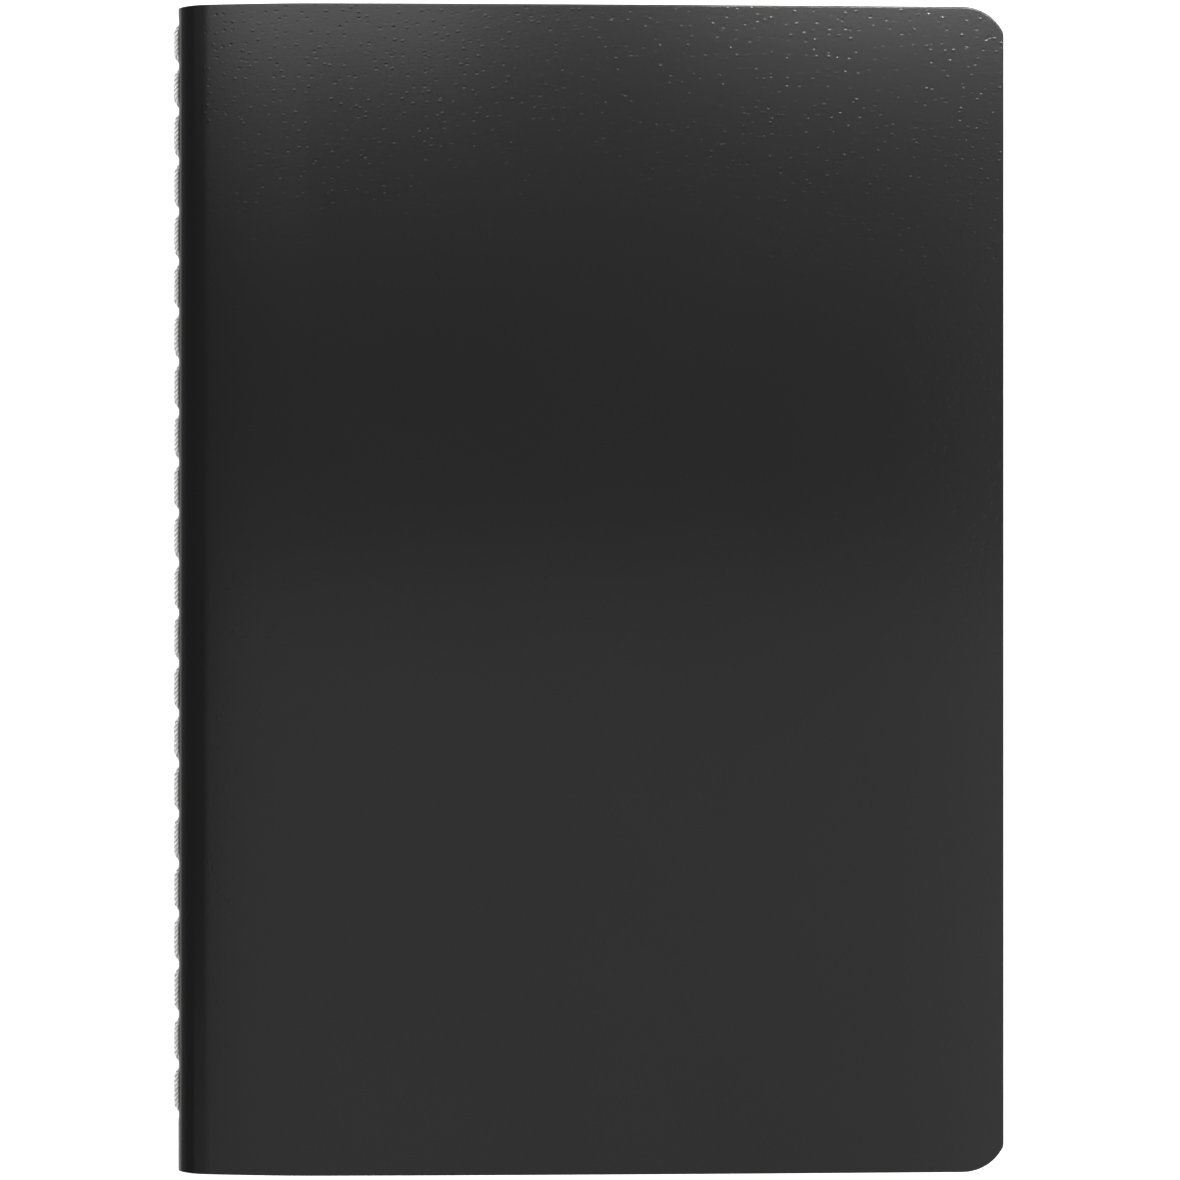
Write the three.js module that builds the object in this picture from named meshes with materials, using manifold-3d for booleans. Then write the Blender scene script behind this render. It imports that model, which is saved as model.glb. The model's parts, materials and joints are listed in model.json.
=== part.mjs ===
// A thin A5 notebook lying closed on its back cover. Twenty sheets are folded once, one inside the other, in a
// soft leatherette cover, and all of it is sewn through the fold with a two-thread lockstitch.
// Millimetres. X runs from the fold (-X) to the fore-edge (+X), Y from tail to head and Z up from the table.
// The origin is on the table, under the middle of the closed cover.
import * as THREE from 'three';
import { mergeVertices } from 'three/addons/utils/BufferGeometryUtils.js';
import Module from 'manifold-3d';

// Cut size and stock. Folded A4 sheets give 148.5 mm, and the cover goes round them.
const coverWidth = 149;
const coverHeight = 210;
const coverThickness = 0.45;
const sheetCount = 20;
const paperThickness = 0.085;
const coverToPaperGap = 0.01;

// Thickness of the closed notebook along its width. It swells from the pressed fold to the bulge, and falls from
// there to the fore-edge.
const foldThickness = 4.5;
const foldRoundingLength = 4.8;
const foldRoundness = 1.7; // 2 would be an ellipse, less is more pointed
const bulgeTop = 24;
const bulgeThickness = 7.6;
const bulgeFullness = 1.6; // 1 would be a straight slope up to the bulge, more is rounder
const foreEdgeThickness = 4.9;
const foreEdgeFall = 1.4;

// Where the folds end and the flat leaves and panels begin, and the line that the notebook opens about
const foldZone = 5.2;
const foldZoneGap = 0.02;
const openingLine = 2.6;

// Rounded fore-edge corners. They are rounded a little too far out, so the fore-edge cuts their arcs.
const roundedCorner = { radius: 8.2, centreInset: 7.4 };

// Lockstitch seam. The first two stitches at the head are shorter than the rest.
const stitchCount = 22;
const firstHoleFromHead = 2.3;
const shortStitchCount = 2;
const shortStitchLength = 8.1;
const stitchLength = 9.07;
const outerThread = { radius: 0.38, sides: 6, line: -0.4, crestRise: 0.03, dip: 0.5 };
const innerThread = { radius: 0.22, sides: 5, line: 2.75, crestRise: 0.02, dip: 1.17 };
const dipTopHalf = 0.75;
const dipBottomHalf = 0.26;
const needleHole = { halfLength: 1.04, halfWidth: 0.45, from: -1, to: 2.6 };
const gutterChannelHalf = 0.26;
const cutPastEnds = 1;
const weldDistance = 1e-4;

// Distances of the cross-sections from the fold
const panelStations = [foldZone, 7.5, 10, 13, 16, 20, bulgeTop, 34, 48, 66, 88, 112];
const cornerSteps = 5;
const foldSteps = 8;

const leatherette = new THREE.MeshStandardMaterial({ color: 0x2b2b2a, roughness: 0.55, metalness: 0 });
const paper = new THREE.MeshStandardMaterial({ color: 0xf2efe6, roughness: 0.9, metalness: 0 });
const polyester = new THREE.MeshStandardMaterial({ color: 0xe0dfd8, roughness: 0.7, metalness: 0 });

const foldX = -coverWidth / 2;
const openingHeight = bulgeThickness / 2;
const halfHeight = coverHeight / 2;

// Half of the closed thickness at a distance from the fold, before the fold is rounded
function halfThickness(distance) {
  if (distance <= bulgeTop) {
    const toBulge = 1 - distance / bulgeTop;
    return bulgeThickness / 2 - ((bulgeThickness - foldThickness) / 2) * toBulge ** bulgeFullness;
  }
  const share = (distance - bulgeTop) / (coverWidth - bulgeTop);
  return bulgeThickness / 2 - ((bulgeThickness - foreEdgeThickness) / 2) * share ** foreEdgeFall;
}

// A point on the rounded outline of the fold: turn 0 is its outermost line, a quarter turn its shoulder.
// inset is how far the layer lies inside the outer face of the cover.
function foldOutlinePoint(inset, turn) {
  const power = 2 / foldRoundness;
  const reach = foldRoundingLength - inset;
  const distance = inset + reach * (1 - Math.cos(turn) ** power);
  const half = (halfThickness(distance) - inset) * Math.sin(turn) ** power;
  return { distance, half };
}

// Height of the middle of the stack: the back cover lies flat on the table from the bulge to the fore-edge
function middleHeight(distance) {
  return distance <= bulgeTop ? openingHeight : halfThickness(distance);
}

// How much a rounded corner takes off the head or the tail at a distance from the fold
function cornerCut(distance) {
  const { radius, centreInset } = roundedCorner;
  const across = distance - (coverWidth - centreInset);
  return across <= 0 ? 0 : radius - Math.sqrt(radius ** 2 - across ** 2);
}

// Cross-sections of equal size joined into one closed skin. Each ring runs counter-clockwise about the way on.
function loft(rings) {
  const perRing = rings[0].length;
  const positions = rings.flat().flatMap((point) => point.toArray());
  const index = [];
  for (let ring = 0; ring < rings.length - 1; ring += 1) {
    for (let corner = 0; corner < perRing; corner += 1) {
      const a = ring * perRing + corner;
      const b = ring * perRing + ((corner + 1) % perRing);
      index.push(a, b, b + perRing, a, b + perRing, a + perRing);
    }
  }
  const last = (rings.length - 1) * perRing;
  for (let corner = 1; corner < perRing - 1; corner += 1) {
    index.push(0, corner + 1, corner);
    index.push(last, last + corner, last + corner + 1);
  }
  const geometry = new THREE.BufferGeometry();
  geometry.setAttribute('position', new THREE.Float32BufferAttribute(positions, 3));
  geometry.setIndex(index);
  return geometry;
}

function cornerStations() {
  const { centreInset } = roundedCorner;
  return Array.from({ length: cornerSteps + 1 }, (_, step) => {
    const turn = (Math.PI / 2) * (step / cornerSteps);
    return coverWidth - centreInset + centreInset * Math.sin(turn);
  });
}

// A thin sheet between two heights from the middle of the stack. side is 1 above the middle and -1 below it.
function panel(side, innerHalf, outerHalf) {
  const rings = [...panelStations, ...cornerStations()].map((distance) => {
    const x = foldX + distance;
    const head = halfHeight - cornerCut(distance);
    const tail = -head;
    const edges = [side * innerHalf(distance), side * outerHalf(distance)].sort((a, b) => a - b);
    const [low, high] = edges.map((height) => middleHeight(distance) + height);
    return [
      new THREE.Vector3(x, tail, low),
      new THREE.Vector3(x, head, low),
      new THREE.Vector3(x, head, high),
      new THREE.Vector3(x, tail, high),
    ];
  });
  return loft(rings);
}

function coverPanel(side) {
  return panel(side, (distance) => halfThickness(distance) - coverThickness, halfThickness);
}

// Leaf 1 is next to the cover and the last leaf is next to the middle
function leaf(side, number) {
  const share = (sheetCount + 0.5 - number) / sheetCount;
  const middle = (distance) => (halfThickness(distance) - coverThickness - coverToPaperGap) * share;
  const half = paperThickness / 2;
  return panel(side, (distance) => middle(distance) - half, (distance) => middle(distance) + half);
}

// The rounded outline of one layer of the fold, from the edge of the zone under the middle to the one above it
function foldOutline(inset) {
  const end = foldZone - foldZoneGap;
  const turns = Array.from({ length: foldSteps + 1 }, (_, step) => (Math.PI / 2) * (step / foldSteps));
  const upper = turns.map((turn) => foldOutlinePoint(inset, turn));
  upper.push({ distance: end, half: halfThickness(end) - inset });
  const point = ({ distance, half }, side) => new THREE.Vector2(foldX + distance, openingHeight + side * half);
  const below = upper.slice(1).reverse();
  return [...below.map((place) => point(place, -1)), ...upper.map((place) => point(place, 1))];
}

// A cross-section in X and Z, drawn out from tail to head
function drawnOut(outline) {
  const geometry = new THREE.ExtrudeGeometry(new THREE.Shape(outline), {
    depth: coverHeight,
    bevelEnabled: false,
  });
  geometry.rotateX(Math.PI / 2);
  geometry.translate(0, halfHeight, 0);
  return geometry;
}

function holePlaces() {
  const places = [halfHeight - firstHoleFromHead];
  for (let stitch = 0; stitch < stitchCount; stitch += 1) {
    places.push(places.at(-1) - (stitch < shortStitchCount ? shortStitchLength : stitchLength));
  }
  return places.reverse();
}

// One thread of the seam, straight between the needle holes and dipping into each of them to lock
function thread({ radius, sides, line, crestRise, dip }) {
  const outward = Math.sign(dip - line);
  const holes = holePlaces();
  const path = holes.flatMap((y, hole) => {
    const next = holes[hole + 1];
    const places = [[y - dipTopHalf, line], [y - dipBottomHalf, dip], [y + dipBottomHalf, dip]];
    places.push([y + dipTopHalf, line], [(y + next) / 2, line - outward * crestRise]);
    return places.slice(hole === 0 ? 1 : 0, next === undefined ? 3 : 5);
  });
  const points = path.map(([y, distance]) => new THREE.Vector3(foldX + distance, y, openingHeight));
  const up = new THREE.Vector3(0, 0, 1);
  const rings = points.map((point, number) => {
    const before = points[Math.max(number - 1, 0)];
    const after = points[Math.min(number + 1, points.length - 1)];
    const arriving = point.clone().sub(number ? before : after).normalize();
    const leaving = after.clone().sub(number < points.length - 1 ? point : before).normalize();
    const way = (number ? arriving : leaving).clone().add(leaving).normalize();
    const across = up.clone().cross(way).divideScalar(way.dot(leaving));
    return Array.from({ length: sides }, (_, side) => {
      const turn = (2 * Math.PI * side) / sides;
      return point
        .clone()
        .addScaledVector(across, radius * Math.cos(turn))
        .addScaledVector(up, radius * Math.sin(turn));
    });
  });
  return loft(rings);
}

function box(xRange, yRange, zRange) {
  const [width, length, height] = [xRange, yRange, zRange].map(([low, high]) => high - low);
  const [x, y, z] = [xRange, yRange, zRange].map(([low, high]) => (low + high) / 2);
  return new THREE.BoxGeometry(width, length, height).translate(x, y, z);
}

function needleHoles() {
  const { halfLength, halfWidth, from, to } = needleHole;
  const xRange = [foldX + from, foldX + to];
  const zRange = [openingHeight - halfWidth, openingHeight + halfWidth];
  return holePlaces().map((y) => box(xRange, [y - halfLength, y + halfLength], zRange));
}

// The innermost fold leaves a channel for the inner thread along the gutter
function gutterChannel() {
  const middle = foldX + innerThread.line;
  return box(
    [middle - gutterChannelHalf, middle + gutterChannelHalf],
    [-halfHeight - cutPastEnds, halfHeight + cutPastEnds],
    [openingHeight - gutterChannelHalf, openingHeight + gutterChannelHalf],
  );
}

const wasm = await Module();
wasm.setup();

function toSolid(geometry) {
  const bare = geometry.clone();
  bare.deleteAttribute('normal');
  bare.deleteAttribute('uv');
  const merged = mergeVertices(bare, weldDistance);
  const mesh = new wasm.Mesh({
    numProp: 3,
    vertProperties: merged.attributes.position.array,
    triVerts: Uint32Array.from(merged.index.array),
  });
  return new wasm.Manifold(mesh);
}

function cut(geometry, tools) {
  const tool = tools.map(toSolid).reduce((joined, solid) => joined.add(solid));
  const mesh = toSolid(geometry).subtract(tool).getMesh();
  const result = new THREE.BufferGeometry();
  result.setAttribute('position', new THREE.BufferAttribute(mesh.vertProperties, 3));
  result.setIndex(new THREE.BufferAttribute(mesh.triVerts, 1));
  return result;
}

function coverFold() {
  const outline = [...foldOutline(0), ...foldOutline(coverThickness).reverse()];
  return cut(drawnOut(outline), needleHoles());
}

// The folds of all the sheets, pressed into one wedge by the seam
function sheetFolds() {
  const outline = foldOutline(coverThickness + coverToPaperGap);
  return cut(drawnOut(outline), [...needleHoles(), gutterChannel()]);
}

const notebook = new THREE.Group();

function addPiece(name, geometry, material) {
  const mesh = new THREE.Mesh(geometry, material);
  mesh.name = name;
  notebook.add(mesh);
}

addPiece('back_cover', coverPanel(-1), leatherette);
addPiece('cover_fold', coverFold(), leatherette);
addPiece('front_cover', coverPanel(1), leatherette);
addPiece('sheet_folds', sheetFolds(), paper);
for (let number = 1; number <= sheetCount; number += 1) {
  const label = String(number).padStart(2, '0');
  addPiece(`back_leaf_${label}`, leaf(-1, number), paper);
  addPiece(`front_leaf_${label}`, leaf(1, number), paper);
}
addPiece('outer_thread', thread(outerThread), polyester);
addPiece('inner_thread', thread(innerThread), polyester);

export default notebook;
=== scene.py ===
# A thin A5 notebook with a sewn soft cover, lying closed on a pale floor and seen from straight above.
# Sizes are in millimetres until a mesh is made, and x is often given as a distance from the fold.
import json

import bmesh
import bpy
import mathutils
import numpy as np
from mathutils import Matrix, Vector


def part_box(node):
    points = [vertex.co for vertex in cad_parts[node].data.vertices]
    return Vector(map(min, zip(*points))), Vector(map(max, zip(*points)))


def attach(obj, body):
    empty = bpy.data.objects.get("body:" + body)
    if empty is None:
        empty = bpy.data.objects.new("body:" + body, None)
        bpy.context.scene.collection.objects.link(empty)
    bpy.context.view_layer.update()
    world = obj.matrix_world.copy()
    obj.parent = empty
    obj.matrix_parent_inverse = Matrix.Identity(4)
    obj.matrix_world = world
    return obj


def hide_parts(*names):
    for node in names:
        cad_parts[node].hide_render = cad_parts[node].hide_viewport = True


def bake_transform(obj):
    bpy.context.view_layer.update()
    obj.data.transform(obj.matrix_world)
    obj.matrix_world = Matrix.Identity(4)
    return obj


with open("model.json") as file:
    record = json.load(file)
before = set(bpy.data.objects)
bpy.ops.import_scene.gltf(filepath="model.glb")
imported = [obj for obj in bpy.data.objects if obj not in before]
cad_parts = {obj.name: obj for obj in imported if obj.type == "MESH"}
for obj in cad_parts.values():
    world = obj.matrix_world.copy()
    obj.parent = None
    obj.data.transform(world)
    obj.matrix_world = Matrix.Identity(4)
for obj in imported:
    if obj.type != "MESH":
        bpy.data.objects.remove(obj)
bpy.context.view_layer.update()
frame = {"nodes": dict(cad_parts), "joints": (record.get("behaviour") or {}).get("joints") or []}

mm = 0.001
sharpAngle = 40  # degrees: an edge that turns by more than this is shaded as an edge


def jointPlace(name):
    joint = next(joint for joint in frame["joints"] if joint["name"] == name)
    return np.array(joint["pos_m"]) / mm


# Where things are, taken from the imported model
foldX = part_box("cover_fold")[0].x / mm
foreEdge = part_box("front_cover")[1].x / mm - foldX
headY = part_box("front_cover")[1].y / mm
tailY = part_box("front_cover")[0].y / mm
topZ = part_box("front_cover")[1].z / mm
openingPlace = jointPlace("centre_opening")
creasePlace = jointPlace("front_cover_opening")
middleZ = openingPlace[2]
sheetCount = sum(name.startswith("front_leaf_") for name in frame["nodes"])

# How the closed notebook is shaped
closedShape = {
    "foldThickness": 4.5,
    "foldRounding": 4.8,  # how far the rounding of the fold reaches
    "foldRoundness": 1.7,  # 2 would be an ellipse, less is more pointed
    "softening": 1.7,  # a board can't change its bend at once, so its line is averaged over this reach
    "softenSamples": 9,
    "softenFrom": 2.3,
    "softenFade": (10, 14),  # where the softening ends, on the straighter part of the line
    "bulgeTop": 24,  # how far from the fold it is thickest
    "bulgeFullness": 1.6,  # a power, as the fall to the fore-edge: 1 would be a straight slope
    "foreEdgeThickness": 4.9,
    "foreEdgeFall": 1.4,
    "cornerRadius": 8.2,
    "cornerInset": 7.4,  # of the arc's centre: less than the radius, so the fore-edge cuts the arc
}


def smoothRise(low, high, value):
    # 0 up to low and 1 from high on
    share = np.clip((value - low) / (high - low), 0, 1)
    return share * share * (3 - 2 * share)


def halfThickness(distance):
    top = closedShape["bulgeTop"]
    rise = (topZ - closedShape["foldThickness"]) / 2
    fall = (topZ - closedShape["foreEdgeThickness"]) / 2
    before = np.clip(1 - distance / top, 0, 1)
    past = np.clip((distance - top) / (foreEdge - top), 0, 1)
    risen = topZ / 2 - rise * before ** closedShape["bulgeFullness"]
    return risen - fall * past ** closedShape["foreEdgeFall"]


def middleHeight(distance):
    # the back cover lies flat from the bulge to the fore-edge
    return np.where(distance <= closedShape["bulgeTop"], middleZ, halfThickness(distance))


def foldDistances(inset, steps):
    # distances through the rounding of the fold, close together where it is steep
    turns = np.linspace(0, np.pi / 2, steps + 1)
    reach = closedShape["foldRounding"] - inset
    return inset + reach * (1 - np.cos(turns) ** (2 / closedShape["foldRoundness"]))


def roundedHalf(distance, inset, taken):
    # half of the thickness inside one layer: its fold starts at inset, and taken is the board outside it
    roundness = closedShape["foldRoundness"]
    left = np.clip(1 - (distance - inset) / (closedShape["foldRounding"] - inset), 0, 1)
    return (halfThickness(distance) - taken) * (1 - left**roundness) ** (1 / roundness)


def layerHalf(distance, inset, taken):
    # that half softened: the average over a reach to both sides, in which the middle counts most
    reach = smoothRise(closedShape["softenFrom"], closedShape["foldRounding"], distance)
    reach = closedShape["softening"] * reach * (1 - smoothRise(*closedShape["softenFade"], distance))
    spread = np.linspace(-1, 1, closedShape["softenSamples"])
    weights = (1 - spread**2) / np.sum(1 - spread**2)
    lines = [roundedHalf(distance + place * reach, inset, taken) for place in spread]
    return sum(weight * line for weight, line in zip(weights, lines))


# Materials


def linear(hexColour):
    # by the curve of the sRGB standard
    channels = [int(hexColour[place : place + 2], 16) / 255 for place in (1, 3, 5)]
    return tuple(c / 12.92 if c <= 0.04045 else ((c + 0.055) / 1.055) ** 2.4 for c in channels) + (1.0,)


# where a mix node has its two colours among its inputs, and the mixed one among its outputs
colourA, colourB, mixedColour = 6, 7, 2


def addNode(tree, kind, settings=None, links=None):
    # settings with a lower-case name are the node's own, the others are its inputs
    node = tree.nodes.new(kind)
    for name, value in (settings or {}).items():
        if isinstance(name, str) and name[0].islower():
            setattr(node, name, value)
        else:
            node.inputs[name].default_value = value
    for name, source in (links or {}).items():
        tree.links.new(source, node.inputs[name])
    return node


def newMaterial(name, shaderSettings):
    material = bpy.data.materials.new(name)
    material.use_nodes = True
    tree = material.node_tree
    tree.nodes.clear()
    shader = addNode(tree, "ShaderNodeBsdfPrincipled", shaderSettings)
    addNode(tree, "ShaderNodeOutputMaterial", links={"Surface": shader.outputs[0]})
    return material, tree, shader


leatheretteLook = {
    "colour": "#161616",
    "lightColour": "#191919",
    "roughness": 0.175,
    "gloss": 0.5,
    "refraction": 1.5,
    "grainWidth": 0.32,
    "grainHeight": 0.0012,
    "speckSpacing": (2.2, 1.6),  # along the board's width and its height
    "speckWidth": 0.9,
    "speckHeight": 0.012,  # at most: each is a low bump or a shallow pit
    "cloudWidth": 38,
    "cloudDetail": 3,
    "cloudRoughness": 0.55,
}


def flatPattern(tree, kind, surface, spacing, settings):
    # a flat pattern whose cells are spacing millimetres apart on the board
    scale = (1 / (spacing[0] * mm), 1 / (spacing[1] * mm), 1)
    place = addNode(tree, "ShaderNodeMapping", {"Scale": scale}, {"Vector": surface})
    return addNode(tree, kind, {"Scale": 1, **settings}, {"Vector": place.outputs[0]})


def makeLeatherette():
    # leatherette board: paper soaked in latex and coated, then embossed with a fine grain. It is charcoal
    # black with a soft wide gloss. The grain, and the specks where the coating is a little thicker or
    # thinner, show only where the light that they reflect changes quickly
    look = leatheretteLook
    material, tree, shader = newMaterial("embossed_leatherette", {
        "IOR": look["refraction"], "Roughness": look["roughness"], "Specular IOR Level": look["gloss"],
    })
    surface = addNode(tree, "ShaderNodeUVMap", {"uv_map": "coverSheet"}).outputs[0]
    cellular = {"voronoi_dimensions": "2D", "feature": "F1", "Randomness": 1}
    grainSpacing = (look["grainWidth"], look["grainWidth"])
    grain = flatPattern(tree, "ShaderNodeTexVoronoi", surface, grainSpacing, cellular)
    specks = flatPattern(tree, "ShaderNodeTexVoronoi", surface, look["speckSpacing"], cellular)
    # 1 in the middle of each speck, falling to 0 at its rim
    rim = look["speckWidth"] / 2 / max(look["speckSpacing"])
    speckShare = addNode(
        tree, "ShaderNodeMapRange",
        {"interpolation_type": "SMOOTHSTEP", "From Max": rim, "To Min": 1.0, "To Max": 0.0},
        {"Value": specks.outputs["Distance"]},
    )
    # a cell's colour is random: X and Y go with the place of its speck, Z is free
    chance = addNode(tree, "ShaderNodeSeparateXYZ", links={0: specks.outputs["Color"]})
    speckHeight = addNode(
        tree, "ShaderNodeMapRange", {"To Min": -look["speckHeight"], "To Max": look["speckHeight"]},
        {"Value": chance.outputs["Z"]},
    )
    # heights in millimetres: the domed grain, then the specks in it
    grainHeight = addNode(
        tree, "ShaderNodeMath", {"operation": "MULTIPLY", 1: -look["grainHeight"]},
        {0: grain.outputs["Distance"]},
    )
    height = addNode(
        tree, "ShaderNodeMath", {"operation": "MULTIPLY_ADD"},
        {0: speckShare.outputs[0], 1: speckHeight.outputs[0], 2: grainHeight.outputs[0]},
    )
    bump = addNode(
        tree, "ShaderNodeBump", {"Strength": 1.0, "Distance": mm}, {"Height": height.outputs[0]}
    )
    cloudSpacing = (look["cloudWidth"], look["cloudWidth"])
    cloudy = {
        "noise_dimensions": "2D", "Detail": look["cloudDetail"], "Roughness": look["cloudRoughness"],
    }
    clouds = flatPattern(tree, "ShaderNodeTexNoise", surface, cloudSpacing, cloudy)
    colours = addNode(
        tree, "ShaderNodeMix",
        {"data_type": "RGBA", colourA: linear(look["colour"]), colourB: linear(look["lightColour"])},
        {0: clouds.outputs[0]},
    )
    tree.links.new(colours.outputs[mixedColour], shader.inputs["Base Color"])
    tree.links.new(bump.outputs[0], shader.inputs["Normal"])
    return material


cutEdgeLook = {
    "colour": "#101010",
    "fibreColour": "#242322",
    "roughness": 0.85,
    "refraction": 1.4,
    "fibreWidth": 0.15,
    "fibreDetail": 3,
}


def makeCutEdge():
    # the die-cut edge of the same board: black fibres with no coating, matt beside the glossy face
    look = cutEdgeLook
    material, tree, shader = newMaterial(
        "cut_board_edge", {"IOR": look["refraction"], "Roughness": look["roughness"]}
    )
    place = addNode(tree, "ShaderNodeTexCoord")
    fibres = addNode(
        tree, "ShaderNodeTexNoise",
        {"Scale": 1 / (look["fibreWidth"] * mm), "Detail": look["fibreDetail"]},
        {"Vector": place.outputs["Object"]},
    )
    colours = addNode(
        tree, "ShaderNodeMix",
        {"data_type": "RGBA", colourA: linear(look["colour"]), colourB: linear(look["fibreColour"])},
        {0: fibres.outputs[0]},
    )
    tree.links.new(colours.outputs[mixedColour], shader.inputs["Base Color"])
    return material


liningLook = {
    "colour": "#262625",
    "fibreColour": "#3a3936",
    "roughness": 0.8,
    "refraction": 1.45,
    "fibreSpacing": (0.5, 0.9),  # along the board's width and its height
    "fibreDetail": 6,
    "fibreRoughness": 0.7,
    "relief": 0.03,
    "reliefStrength": 0.4,
}


def makeCoverLining():
    # the back of the board, left uncoated: charcoal paper, quite matt, its fibres mostly along its height
    look = liningLook
    material, tree, shader = newMaterial(
        "uncoated_board_back", {"IOR": look["refraction"], "Roughness": look["roughness"]}
    )
    surface = addNode(tree, "ShaderNodeUVMap", {"uv_map": "coverSheet"}).outputs[0]
    fibrous = {"Detail": look["fibreDetail"], "Roughness": look["fibreRoughness"]}
    fibres = flatPattern(tree, "ShaderNodeTexNoise", surface, look["fibreSpacing"], fibrous)
    colours = addNode(
        tree, "ShaderNodeMix",
        {"data_type": "RGBA", colourA: linear(look["colour"]), colourB: linear(look["fibreColour"])},
        {0: fibres.outputs[0]},
    )
    bump = addNode(
        tree, "ShaderNodeBump", {"Strength": look["reliefStrength"], "Distance": look["relief"] * mm},
        {"Height": fibres.outputs[0]},
    )
    tree.links.new(colours.outputs[mixedColour], shader.inputs["Base Color"])
    tree.links.new(bump.outputs[0], shader.inputs["Normal"])
    return material


paperLook = {
    "colour": "#ece6d6",
    "lightColour": "#f6f2e6",
    "roughness": 0.88,
    "refraction": 1.45,
    "cloudWidth": 3.5,
    "cloudDetail": 5,
    "cloudRoughness": 0.6,
    "fibreWidth": 0.25,
    "fibreDetail": 2,
    "relief": 0.01,
    "reliefStrength": 0.25,
}


def makePaper():
    # uncoated wood-free writing paper, off-white. Its fibres clump into clouds a few millimetres across
    look = paperLook
    material, tree, shader = newMaterial(
        "uncoated_writing_paper", {"IOR": look["refraction"], "Roughness": look["roughness"]}
    )
    place = addNode(tree, "ShaderNodeTexCoord").outputs["Object"]
    cloudScale, fibreScale = 1 / (look["cloudWidth"] * mm), 1 / (look["fibreWidth"] * mm)
    clouds = addNode(
        tree, "ShaderNodeTexNoise",
        {"Scale": cloudScale, "Detail": look["cloudDetail"], "Roughness": look["cloudRoughness"]},
        {"Vector": place},
    )
    fibres = addNode(
        tree, "ShaderNodeTexNoise", {"Scale": fibreScale, "Detail": look["fibreDetail"]},
        {"Vector": place},
    )
    colours = addNode(
        tree, "ShaderNodeMix",
        {"data_type": "RGBA", colourA: linear(look["colour"]), colourB: linear(look["lightColour"])},
        {0: clouds.outputs[0]},
    )
    bump = addNode(
        tree, "ShaderNodeBump", {"Strength": look["reliefStrength"], "Distance": look["relief"] * mm},
        {"Height": fibres.outputs[0]},
    )
    tree.links.new(colours.outputs[mixedColour], shader.inputs["Base Color"])
    tree.links.new(bump.outputs[0], shader.inputs["Normal"])
    return material


threadLook = {
    "shadeColour": "#b4b4af",
    "colour": "#ffffff",
    "plyGapShadeColour": "#5b5c55",  # painted shade deep between the plies, where shade falls
    "boardSideShadeColour": "#5d5e58",  # painted shade, with the dark board's reflection, on the side that lies against the board
    "boardSideShadeShare": 0.6,
    "roughness": 0.6,
    "refraction": 1.5,
    "sheen": 0.25,
    "sheenRoughness": 0.4,
    "fibreWidth": 0.2,  # bundles of fibres: single ones would be too fine to show
    "fibreLength": 0.45,
    "fibreContrast": 3,
    "fibreDetail": 3,
    "fibreRoughness": 0.6,
    "relief": 0.03,
    "reliefStrength": 0.5,
}


def makeThreadFinish():
    # spun polyester sewing thread, undyed: grey-white plies with a dull sheen and a nap of fine fibres
    look = threadLook
    material, tree, shader = newMaterial("spun_polyester", {
        "IOR": look["refraction"], "Roughness": look["roughness"],
        "Sheen Weight": look["sheen"], "Sheen Roughness": look["sheenRoughness"],
    })
    place = addNode(tree, "ShaderNodeTexCoord")
    across, along = 1 / (look["fibreWidth"] * mm), 1 / (look["fibreLength"] * mm)
    fibrePlace = addNode(
        tree, "ShaderNodeMapping", {"Scale": (across, along, across)}, {"Vector": place.outputs["Object"]}
    )
    fibres = addNode(
        tree, "ShaderNodeTexNoise",
        {"Scale": 1, "Detail": look["fibreDetail"], "Roughness": look["fibreRoughness"]},
        {"Vector": fibrePlace.outputs[0]},
    )
    # noise keeps near its middle, so only that part of it is spread over the two colours
    reach = 1 / 2 / look["fibreContrast"]
    lightness = addNode(
        tree, "ShaderNodeMapRange", {"From Min": 1 / 2 - reach, "From Max": 1 / 2 + reach},
        {"Value": fibres.outputs[0]},
    )
    plies = addNode(
        tree, "ShaderNodeMix",
        {"data_type": "RGBA", colourA: linear(look["shadeColour"]), colourB: linear(look["colour"])},
        {0: lightness.outputs[0]},
    )
    # painted shade: the thread is darker deep between its plies
    standing = addNode(tree, "ShaderNodeAttribute", {"attribute_name": "standing"})
    grooved = addNode(
        tree, "ShaderNodeMix", {"data_type": "RGBA", colourA: linear(look["plyGapShadeColour"])},
        {0: standing.outputs["Fac"], colourB: plies.outputs[mixedColour]},
    )
    # painted shade on the side of the thread that lies against the dark board
    boardSideShade = addNode(tree, "ShaderNodeAttribute", {"attribute_name": "boardSideShade"})
    boardSideShadeAmount = addNode(
        tree, "ShaderNodeMath", {"operation": "MULTIPLY", 1: look["boardSideShadeShare"]},
        {0: boardSideShade.outputs["Fac"]},
    )
    colours = addNode(
        tree, "ShaderNodeMix", {"data_type": "RGBA", colourB: linear(look["boardSideShadeColour"])},
        {0: boardSideShadeAmount.outputs[0], colourA: grooved.outputs[mixedColour]},
    )
    bump = addNode(
        tree, "ShaderNodeBump", {"Strength": look["reliefStrength"], "Distance": look["relief"] * mm},
        {"Height": fibres.outputs[0]},
    )
    tree.links.new(colours.outputs[mixedColour], shader.inputs["Base Color"])
    tree.links.new(bump.outputs[0], shader.inputs["Normal"])
    return material


def makeFloorFinish():
    # smooth matt studio board, pale. It glows a little, as a back-lit table does, so shadows stay faint
    return newMaterial("studio_board", {
        "Base Color": linear(studio["floorColour"]), "Roughness": studio["floorRoughness"],
        "Emission Color": linear(studio["floorGlowColour"]), "Emission Strength": studio["floorGlow"],
    })[0]


# Cover

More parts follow.
